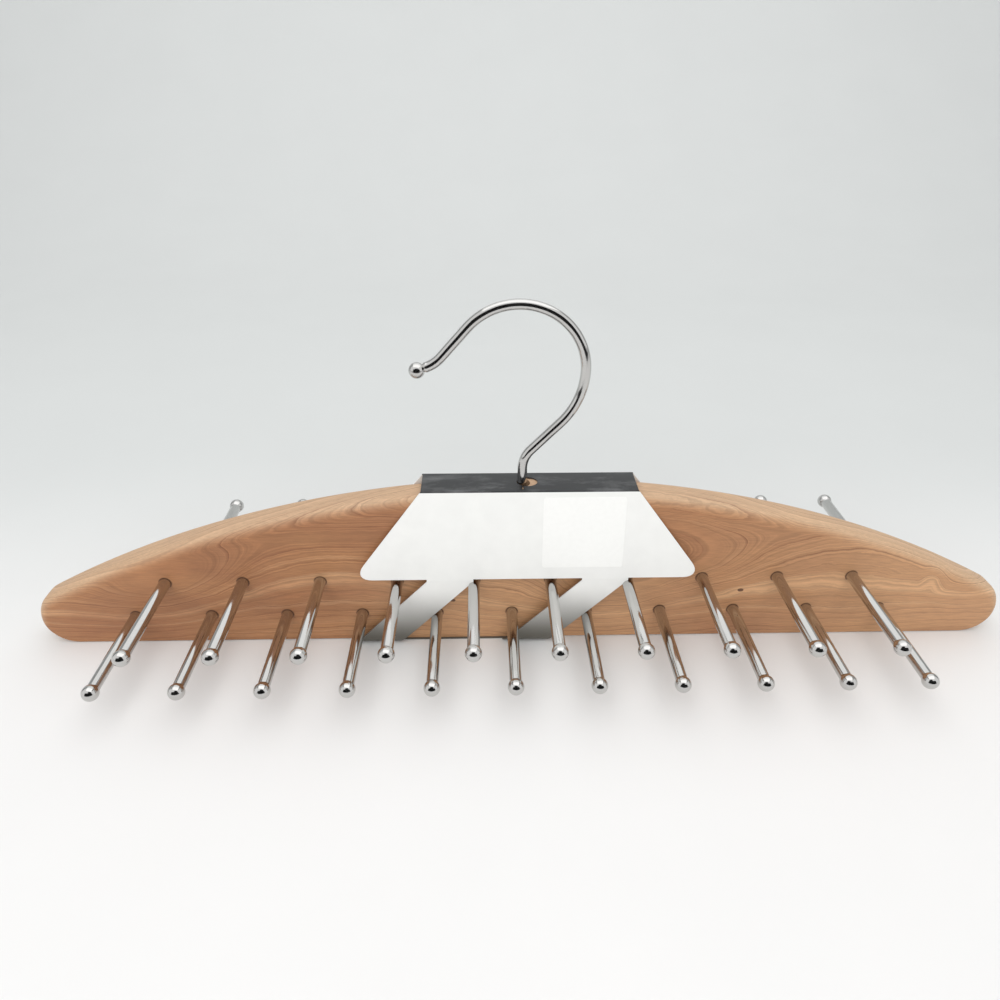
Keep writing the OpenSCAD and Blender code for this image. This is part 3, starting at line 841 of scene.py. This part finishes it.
class HANGER_OT_card(bpy.types.Operator):
    """Cuts and folds the card sleeve and sticks on its blank label."""

    bl_idname = "hanger.card"
    bl_label = "Fold card sleeve"

    # Front panel and legs, in millimetres: upper right corners of the legs, rounding of the panel's lower corners,
    # drop of a leg before it slants, and softening of the folds
    leg_corners = (-24.73, 45.27)
    corner_cut, notch, fold_bevel = 9.0, 1.3, 0.5
    # Rows along a leg and round its foot, and how late it nears the board
    leg_rows, foot_rows, lateness = 4, 8, 1.5
    # Hole for the hook and slit from it to the front fold, in millimetres: name, sides, radius, stretch and place
    punches = (("hole", 48, 3.8, (1.2, 1, 1), (-0.8, 0, 0)), ("slit", 3, 0.55, (1, 4.6, 1), (-2.9, -5.2, 0)))
    punch_depth = 4.0
    # In front of the board's face, in millimetres: end of a leg's foot and edge of the flap that it laps over;
    # and half the slot between the two flaps
    foot_gap, flap_lap, slot_half = 0.1, 0.9, 0.3
    # Label, in millimetres: thickness, outer face in front of the panel's, rounding, lift of its one corner
    label_thickness, label_gap, label_corner, label_lift = 0.12, 0.16, 1.2, 0.25
    # Rows and columns of the label, and where the lifted corner starts, as a share of its width and height
    label_rows, lifted_from = 12, 0.42

    def execute(self, context):
        settings = context.scene.tie_hanger.card
        low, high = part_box("card_sleeve")
        bpy.ops.mesh.primitive_plane_add(size=2, rotation=(math.pi / 2, 0, 0))
        card = start_piece("folded_card")
        self.cut_panel(card, settings, low, high)
        for corner in self.leg_corners:
            self.bend_leg(card, settings, low, corner * MM)
        self.close_round(card, settings, high.z)
        bpy.ops.object.mode_set(mode="OBJECT")
        self.thicken(card, settings.thickness)
        self.punch(card, high.z)
        flap = self.fold_flap(settings, low)
        bpy.ops.object.select_all(action="DESELECT")
        flap.select_set(True)
        card.select_set(True)
        context.view_layer.objects.active = card
        bpy.ops.object.join()
        bpy.ops.object.shade_smooth_by_angle(angle=PAPER_ROUND)
        dress(card, card_material(settings))
        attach(card, "hanger")
        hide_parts("card_sleeve")
        self.stick_label(settings, low, high)
        return {"FINISHED"}

    def cut_panel(self, card, settings, low, high):
        """Shapes the front panel: a trapezoid that leans out from the fold, with rounded lower corners."""
        foot, top = settings.panel_foot, high.z
        stretch((high.x, 1, (top - foot) / 2), shift=(0, low.y, (top + foot) / 2))
        pick(card, "VERT", lambda place: place.z > top - NEAR)
        bpy.ops.transform.resize(value=(settings.top_width / 2 / high.x, 1, 1), center_override=(0, 0, 0))
        bpy.ops.transform.translate(value=(0, -settings.fold_half - low.y, 0))
        pick(card, "VERT", lambda place: place.z < foot + NEAR)
        bpy.ops.mesh.bevel(offset=self.corner_cut * MM, segments=8, affect="VERTICES")
        for corner in self.leg_corners:
            for x in (corner * MM - settings.leg_width, corner * MM):
                bpy.ops.mesh.select_all(action="SELECT")
                bpy.ops.mesh.bisect(plane_co=(x, 0, 0), plane_no=(1, 0, 0))

    def bend_leg(self, card, settings, low, corner):
        """Draws one leg down from the panel's lower edge, slanted, and bends its foot under the board."""
        foot, radius = settings.panel_foot, settings.foot_radius
        centre_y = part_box("body")[0].y - self.foot_gap * MM
        root = foot - self.notch * MM
        path = [(low.y, foot), (low.y, root)]
        for row in range(1, self.leg_rows + 1):
            share = row / self.leg_rows
            path.append((
                low.y + (centre_y - radius - low.y) * share ** self.lateness, root + (radius - root) * share))
        for row in range(1, self.foot_rows + 1):
            turn = math.pi / 2 * row / self.foot_rows
            path.append((centre_y - radius * math.cos(turn), low.z + radius * (1 - math.sin(turn))))
        pick(card, "EDGE", lambda place: abs(place.z - foot) < NEAR
             and corner - settings.leg_width - NEAR < place.x < corner + NEAR)
        for (y, z), (next_y, next_z) in zip(path, path[1:]):
            run = settings.leg_slant * foot / root * (next_z - z) if z < foot else 0.0
            bpy.ops.mesh.extrude_edges_move(TRANSFORM_OT_translate={"value": (run, next_y - y, next_z - z)})

    def close_round(self, card, settings, top):
        """Turns a copy of the front round to the back, bridges the top and softens the folds."""
        bpy.ops.mesh.select_all(action="SELECT")
        bpy.ops.mesh.duplicate()
        bpy.ops.transform.rotate(value=math.pi, orient_axis="Z", center_override=(0, 0, 0))
        pick(card, "EDGE", lambda place: place.z > top - NEAR)
        bpy.ops.mesh.bridge_edge_loops()
        bpy.ops.mesh.select_all(action="SELECT")
        bpy.ops.mesh.remove_doubles(threshold=WELD)
        for fold in (-settings.fold_half, settings.fold_half):
            pick(card, "EDGE", lambda place: place.z > top - NEAR and abs(place.y - fold) < NEAR)
            bpy.ops.mesh.bevel(offset=self.fold_bevel * MM, segments=3, affect="EDGES")
        face_outwards()

    def thicken(self, sheet, thickness):
        """Gives a sheet its thickness on its inner side."""
        wall = sheet.modifiers.new("wall", "SOLIDIFY")
        wall.thickness = thickness
        wall.offset = -1
        wall.use_even_offset = True
        apply_modifier(sheet, wall)

    def punch(self, card, top):
        """Punches the hook's hole, and tears a slit from it to the front fold."""
        for name, sides, radius, swell, place in self.punches:
            bpy.ops.mesh.primitive_cylinder_add(
                vertices=sides, radius=radius * MM, depth=self.punch_depth * MM, location=(0, 0, top))
            cutter = start_piece(name)
            stretch(swell, shift=[along * MM for along in place])
            bpy.ops.object.mode_set(mode="OBJECT")
            subtract(card, cutter)

    def fold_flap(self, settings, low):
        """The flap under the board that joins the feet of the legs, once for the front and once for the back."""
        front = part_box("body")[0].y - self.flap_lap * MM
        slot = self.slot_half * MM
        run = settings.leg_slant * settings.panel_foot
        left, right = self.leg_corners[0] * MM - settings.leg_width - run, self.leg_corners[1] * MM - run
        bpy.ops.mesh.primitive_plane_add(size=2, location=(0, 0, low.z))
        flap = start_piece("flap")
        stretch(((right - left) / 2, -(front + slot) / 2, 1), (0, 0, low.z),
                shift=((left + right) / 2, (front - slot) / 2, 0))
        bpy.ops.mesh.subdivide(number_cuts=3)
        bpy.ops.mesh.duplicate()
        bpy.ops.transform.rotate(value=math.pi, orient_axis="Z", center_override=(0, 0, 0))
        face_outwards()
        bpy.ops.object.mode_set(mode="OBJECT")
        if flap.data.polygons[0].normal.z > 0:
            flap.data.flip_normals()
        # A hair thinner than the card, so that the two don't share a surface inside the bend
        self.thicken(flap, settings.thickness - 0.02 * MM)
        return flap

    def stick_label(self, settings, low, high):
        """A thin label on the panel, with rounded corners and its lower right corner a little lifted."""
        box_low, box_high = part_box("price_label")
        lean = math.atan2(-settings.fold_half - low.y, high.z - settings.panel_foot)
        width, length = box_high.x - box_low.x, (box_high.z - box_low.z) / math.cos(lean)
        bpy.ops.mesh.primitive_grid_add(
            x_subdivisions=self.label_rows, y_subdivisions=self.label_rows, size=1, rotation=(math.pi / 2, 0, 0))
        label = start_piece("paper_label")
        stretch((width, 1, length))
        pick(label, "VERT", lambda place: abs(place.x) > width / 2 - NEAR and abs(place.z) > length / 2 - NEAR)
        bpy.ops.mesh.bevel(offset=self.label_corner * MM, segments=4, affect="VERTICES")
        pick(label, "VERT", lambda place: place.x > width * self.lifted_from
             and place.z < -length * self.lifted_from)
        bpy.ops.transform.translate(value=(0, -self.label_lift * MM, 0))
        bpy.ops.mesh.select_all(action="SELECT")
        bpy.ops.transform.rotate(value=lean, orient_axis="X", center_override=(0, 0, 0))
        middle_z = (box_low.z + box_high.z) / 2
        middle_y = -settings.fold_half - (high.z - middle_z) * math.tan(lean) - self.label_gap * MM
        bpy.ops.transform.translate(value=((box_low.x + box_high.x) / 2, middle_y, middle_z))
        face_outwards()
        bpy.ops.object.mode_set(mode="OBJECT")
        if label.data.polygons[0].normal.y > 0:
            label.data.flip_normals()
        self.thicken(label, self.label_thickness * MM)
        bpy.ops.object.shade_smooth_by_angle(angle=PAPER_ROUND)
        dress(label, label_material(settings))
        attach(label, "hanger")
        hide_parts("price_label")


class HANGER_OT_stage(bpy.types.Operator):
    """Sets up the floor, the lights and the camera."""

    bl_idname = "hanger.stage"
    bl_label = "Set up stage"

    # Sweep, in metres: depth and width, where it starts to curve up, radius of the curve, height of the wall
    sweep_depth, sweep_width, curve_start, curve_radius, wall_height = 6.0, 18.0, 0.55, 0.7, 2.5
    # Dark card round the camera, in metres and degrees: size, rounding, place from the camera, tilt
    flag_size, flag_corner, flag_offset, flag_tilt = 0.34, 0.1, (0, -0.08, 0.03), 60
    # Folded dark card behind it: middle of its upright part, width and height of that, and reach of its foot
    room_place, room_width, room_height, room_reach = (0, -1.25, 0.58), 2.9, 1.131, 0.9
    # Square lamps: place, size in metres and power in watts, and the point that they look at
    overhead_lamp = (0.05, 0.3, 1.3), 2.0, 9.5
    front_lamp = (-0.25, -1.2, 1.1), 1.6, 14.0
    lamp_aim = (0, 0, 0.05)

    def execute(self, context):
        settings = context.scene.tie_hanger.stage
        self.add_floor(settings)
        self.add_flag(settings)
        self.add_light(context, "overhead_softbox", *self.overhead_lamp)
        # The fill from the front leaves no glint
        self.add_light(context, "front_fill", *self.front_lamp).visible_glossy = False
        self.add_world(context, settings)
        self.add_camera(context, settings)
        context.scene.view_settings.view_transform = "Standard"
        return {"FINISHED"}

    def add_floor(self, settings):
        """A pale sweep: flat under the hanger, curved up far behind it."""
        start, floor_z = self.curve_start, CAD_BOX[0][2]
        bpy.ops.mesh.primitive_plane_add(
            size=self.sweep_depth, location=(0, start - self.sweep_depth / 2, floor_z))
        sweep = start_piece("sweep")
        stretch((self.sweep_width / self.sweep_depth, 1, 1))
        pick(sweep, "EDGE", lambda place: place.y > start - NEAR)
        bpy.ops.mesh.spin(
            steps=32, angle=-math.pi / 2, center=(0, start, floor_z + self.curve_radius), axis=(1, 0, 0))
        bpy.ops.mesh.extrude_edges_move(TRANSFORM_OT_translate={"value": (0, 0, self.wall_height)})
        bpy.ops.object.mode_set(mode="OBJECT")
        bpy.ops.object.shade_smooth_by_angle(angle=ROUND)
        dress(sweep, floor_material(settings))

    def add_flag(self, settings):
        """Dark cards that only the chrome sees: one round the camera, one for the dim room in front."""
        bpy.ops.mesh.primitive_plane_add(
            size=self.flag_size, location=Vector(settings.camera_place) + Vector(self.flag_offset),
            rotation=(math.radians(self.flag_tilt), 0, 0))
        flag = start_piece("dark_flag")
        bpy.ops.mesh.bevel(offset=self.flag_corner, segments=6, affect="VERTICES")
        bpy.ops.mesh.select_all(action="DESELECT")
        bpy.ops.mesh.primitive_plane_add(
            size=self.room_width, location=self.room_place, rotation=(math.pi / 2, 0, 0))
        bpy.ops.transform.resize(
            value=(1, 1, self.room_height / self.room_width), center_override=self.room_place)
        _, room_y, room_z = self.room_place
        pick(flag, "EDGE", lambda place: place.y < room_y + NEAR and place.z < room_z)
        bpy.ops.mesh.extrude_edges_move(TRANSFORM_OT_translate={"value": (0, self.room_reach, 0)})
        bpy.ops.object.mode_set(mode="OBJECT")
        for ray in ("camera", "diffuse", "shadow", "transmission", "volume_scatter"):
            setattr(flag, "visible_" + ray, False)
        dress(flag, flag_material(settings))

    def add_light(self, context, name, place, size, power):
        """A square lamp that looks at the middle of the hanger."""
        data = bpy.data.lights.new(name, "AREA")
        data.size = size
        data.energy = power
        light = bpy.data.objects.new(name, data)
        aim = Vector(self.lamp_aim) - Vector(place)
        light.matrix_world = Matrix.Translation(place) @ aim.to_track_quat("-Z", "Y").to_matrix().to_4x4()
        context.scene.collection.objects.link(light)
        return light

    def add_world(self, context, settings):
        """White for the camera and in reflections, and a softer light for the rest."""
        world = bpy.data.worlds.new("white_surround")
        world.use_nodes = True
        tree = world.node_tree
        tree.nodes.clear()
        rays = add_node(tree, "ShaderNodeLightPath", {})
        seen = rays.outputs["Is Camera Ray"]
        for ray in ("Is Glossy Ray", "Is Transmission Ray"):
            seen = add_node(tree, "ShaderNodeMath", {0: seen, 1: rays.outputs[ray]}, operation="MAXIMUM")
        white = add_node(tree, "ShaderNodeBackground", {"Color": srgb("#ffffff"), "Strength": 1.0})
        surround = add_node(tree, "ShaderNodeBackground", {
            "Color": settings.surround, "Strength": settings.surround_strength})
        mix = add_node(tree, "ShaderNodeMixShader", {0: seen, 1: surround, 2: white})
        add_node(tree, "ShaderNodeOutputWorld", {"Surface": mix})
        context.scene.world = world

    def add_camera(self, context, settings):
        """The photograph's camera."""
        turn = (Matrix.Rotation(-settings.camera_yaw, 4, "Z")
                @ Matrix.Rotation(math.pi / 2 - settings.camera_pitch, 4, "X")
                @ Matrix.Rotation(-settings.camera_roll, 4, "Z"))
        data = bpy.data.cameras.new("photo_camera")
        data.sensor_width = SENSOR_WIDTH
        data.lens = FOCAL_PX / PICTURE_PX * SENSOR_WIDTH
        data.clip_start = 0.01
        camera = bpy.data.objects.new("photo_camera", data)
        camera.matrix_world = Matrix.Translation(settings.camera_place) @ turn
        context.scene.collection.objects.link(camera)
        context.scene.camera = camera


STEPS = (HANGER_OT_stage, HANGER_OT_body, HANGER_OT_pegs, HANGER_OT_hook, HANGER_OT_card)


class HANGER_PT_panel(bpy.types.Panel):
    """Lists the steps that build the hanger's looks."""

    bl_idname = "HANGER_PT_panel"
    bl_label = "Tie hanger"
    bl_space_type = "VIEW_3D"
    bl_region_type = "UI"
    bl_category = "Tie hanger"

    def draw(self, context):
        for step in STEPS:
            self.layout.operator(step.bl_idname)


CLASSES = (WoodSettings, MetalSettings, CardSettings, StageSettings, HangerSettings, *STEPS, HANGER_PT_panel)


def register():
    for cls in CLASSES:
        bpy.utils.register_class(cls)
    bpy.types.Scene.tie_hanger = bpy.props.PointerProperty(type=HangerSettings)


def unregister():
    del bpy.types.Scene.tie_hanger
    for cls in reversed(CLASSES):
        bpy.utils.unregister_class(cls)


def main():
    """Builds the looks step by step."""
    register()
    bpy.ops.hanger.stage()
    bpy.ops.hanger.body()
    bpy.ops.hanger.pegs()
    bpy.ops.hanger.hook()
    bpy.ops.hanger.card()


if __name__ == "__main__":
    main()
